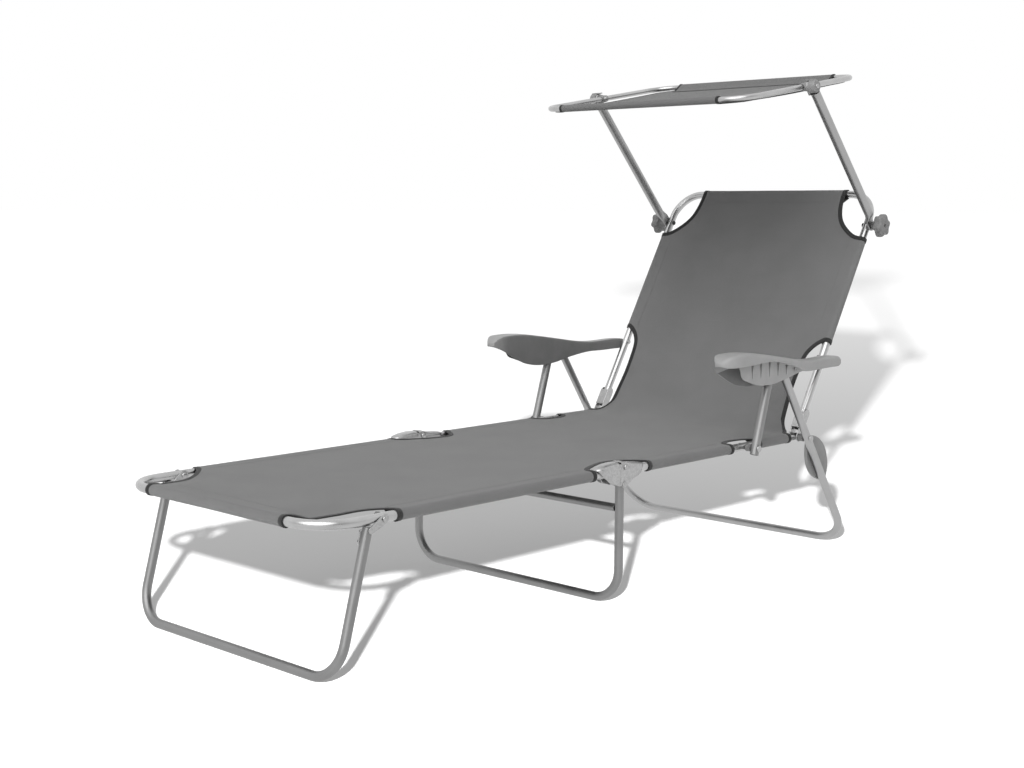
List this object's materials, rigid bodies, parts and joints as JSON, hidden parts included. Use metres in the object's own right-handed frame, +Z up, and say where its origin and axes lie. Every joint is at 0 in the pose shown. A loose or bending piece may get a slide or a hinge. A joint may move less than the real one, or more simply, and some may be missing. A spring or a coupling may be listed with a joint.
{
  "type": "sun lounger",
  "caption": "Folding tube-framed sun lounger with a cloth sling bed, a reclining back, moulded armrests and a tilting cloth canopy on two arms.",
  "frame": {"origin": "on the floor under the middle of the whole lounger", "axes": "+X from the foot end to the head end, +Y to the right of someone lying on the bed facing the foot end, +Z up"},
  "size_m": [1.648, 0.678, 1.0456],
  "materials": {
    "tube_steel": "satin zinc-plated tube",
    "bright_steel": "bright zinc-plated plate and rivets",
    "sling_cloth": "plain woven grey cloth",
    "grey_plastic": "satin moulded plastic",
    "dark_plastic": "satin moulded plastic, darker"
  },
  "bodies": {
    "seat": {"seat_tube_left": "tube_steel", "seat_tube_right": "tube_steel", "seat_hinge_plate_outer_left": "bright_steel", "seat_hinge_plate_outer_right": "bright_steel", "seat_hinge_plate_inner_left": "bright_steel", "seat_hinge_plate_inner_right": "bright_steel", "fold_rivet_left": "bright_steel", "fold_rivet_right": "bright_steel", "mid_leg_rivet_left": "bright_steel", "mid_leg_rivet_right": "bright_steel", "seat_cross_tube": "tube_steel", "seat_sling": "sling_cloth", "recline_bolt_left": "bright_steel", "recline_bolt_right": "bright_steel", "recline_bush_left": "dark_plastic", "recline_bush_right": "dark_plastic", "strut_bolt_left": "bright_steel", "strut_bolt_right": "bright_steel", "strut_bush_left": "dark_plastic", "strut_bush_right": "dark_plastic"},
    "foot_section": {"foot_frame": "tube_steel", "foot_sling": "sling_cloth", "foot_hinge_plate_outer_left": "bright_steel", "foot_hinge_plate_outer_right": "bright_steel", "foot_hinge_plate_inner_left": "bright_steel", "foot_hinge_plate_inner_right": "bright_steel", "front_leg_rivet_left": "bright_steel", "front_leg_rivet_right": "bright_steel"},
    "front_leg": {"front_leg": "tube_steel", "front_leg_bracket_left": "bright_steel", "front_leg_bracket_right": "bright_steel"},
    "mid_leg": {"mid_leg": "tube_steel", "mid_leg_cross_bar": "tube_steel"},
    "rear_leg": {"rear_leg": "tube_steel", "rear_leg_guard_left": "dark_plastic", "rear_leg_guard_right": "dark_plastic", "rear_leg_pin_left": "bright_steel", "rear_leg_pin_right": "bright_steel"},
    "strut_left": {"strut_left": "tube_steel"},
    "strut_right": {"strut_right": "tube_steel"},
    "back": {"back_frame": "tube_steel", "back_sling": "sling_cloth", "back_clevis_left": "bright_steel", "back_clevis_right": "bright_steel", "armrest_bolt_left": "bright_steel", "armrest_bolt_right": "bright_steel"},
    "armrest_left": {"armrest_left": "grey_plastic"},
    "armrest_right": {"armrest_right": "grey_plastic"},
    "canopy_arms": {"canopy_arm_left": "tube_steel", "canopy_arm_right": "tube_steel"},
    "knob_left": {"knob_left": "grey_plastic"},
    "knob_right": {"knob_right": "grey_plastic"},
    "canopy": {"canopy_clamp_left": "dark_plastic", "canopy_clamp_right": "dark_plastic", "clamp_bolt_left": "bright_steel", "clamp_bolt_right": "bright_steel", "canopy_hoop_front": "tube_steel", "canopy_hoop_rear": "tube_steel", "canopy_cloth": "sling_cloth"}
  },
  "joints": [
    {"name": "foot_fold", "type": "hinge", "parent": "seat", "child": "foot_section", "pos_m": [-0.09416, 0, 0.26924], "axis": [0, 1, 0], "range_deg": [0, 130]},
    {"name": "front_leg_fold", "type": "hinge", "parent": "foot_section", "child": "front_leg", "pos_m": [-0.69316, 0, 0.26], "axis": [0, -1, 0], "range_deg": [0, 105]},
    {"name": "mid_leg_fold", "type": "hinge", "parent": "seat", "child": "mid_leg", "pos_m": [-0.09416, 0, 0.236], "axis": [0, -1, 0], "range_deg": [0, 90]},
    {"name": "recline", "type": "hinge", "parent": "seat", "child": "back", "pos_m": [0.50084, 0, 0.26], "axis": [0, 1, 0], "range_deg": [0, 59]},
    {"name": "armrest_left_tilt", "type": "hinge", "parent": "back", "child": "armrest_left", "pos_m": [0.59972, 0, 0.42458], "axis": [0, 1, 0], "range_deg": [-31, 1]},
    {"name": "armrest_right_tilt", "type": "hinge", "parent": "back", "child": "armrest_right", "pos_m": [0.59972, 0, 0.42458], "axis": [0, 1, 0], "range_deg": [-31, 1]},
    {"name": "rear_leg_fold", "type": "hinge", "parent": "seat", "child": "rear_leg", "pos_m": [0.50084, 0, 0.26], "axis": [0, -1, 0], "range_deg": [0, 44]},
    {"name": "strut_left_fold", "type": "hinge", "parent": "seat", "child": "strut_left", "pos_m": [0.30784, 0, 0.26], "axis": [0, -1, 0], "range_deg": [0, 86]},
    {"name": "strut_right_fold", "type": "hinge", "parent": "seat", "child": "strut_right", "pos_m": [0.30784, 0, 0.26], "axis": [0, -1, 0], "range_deg": [0, 86]},
    {"name": "canopy_arms_swing", "type": "hinge", "parent": "back", "child": "canopy_arms", "pos_m": [0.77226, 0, 0.71173], "axis": [0, 1, 0], "range_deg": [-50, 45]},
    {"name": "knob_left_turn", "type": "hinge", "parent": "canopy_arms", "child": "knob_left", "pos_m": [0.77226, -0.3, 0.71173], "axis": [0, 1, 0], "continuous": true},
    {"name": "knob_right_turn", "type": "hinge", "parent": "canopy_arms", "child": "knob_right", "pos_m": [0.77226, 0.3, 0.71173], "axis": [0, 1, 0], "continuous": true},
    {"name": "canopy_tilt", "type": "hinge", "parent": "canopy_arms", "child": "canopy", "pos_m": [0.50202, 0, 1.00255], "axis": [0, 1, 0], "range_deg": [-60, 45]}
  ],
  "couplings": [
    {"joint": "armrest_left_tilt", "follows": "recline", "ratio": -0.51},
    {"joint": "armrest_right_tilt", "follows": "recline", "ratio": -0.51},
    {"joint": "strut_left_fold", "follows": "rear_leg_fold", "ratio": 1.95},
    {"joint": "strut_right_fold", "follows": "rear_leg_fold", "ratio": 1.95}
  ]
}
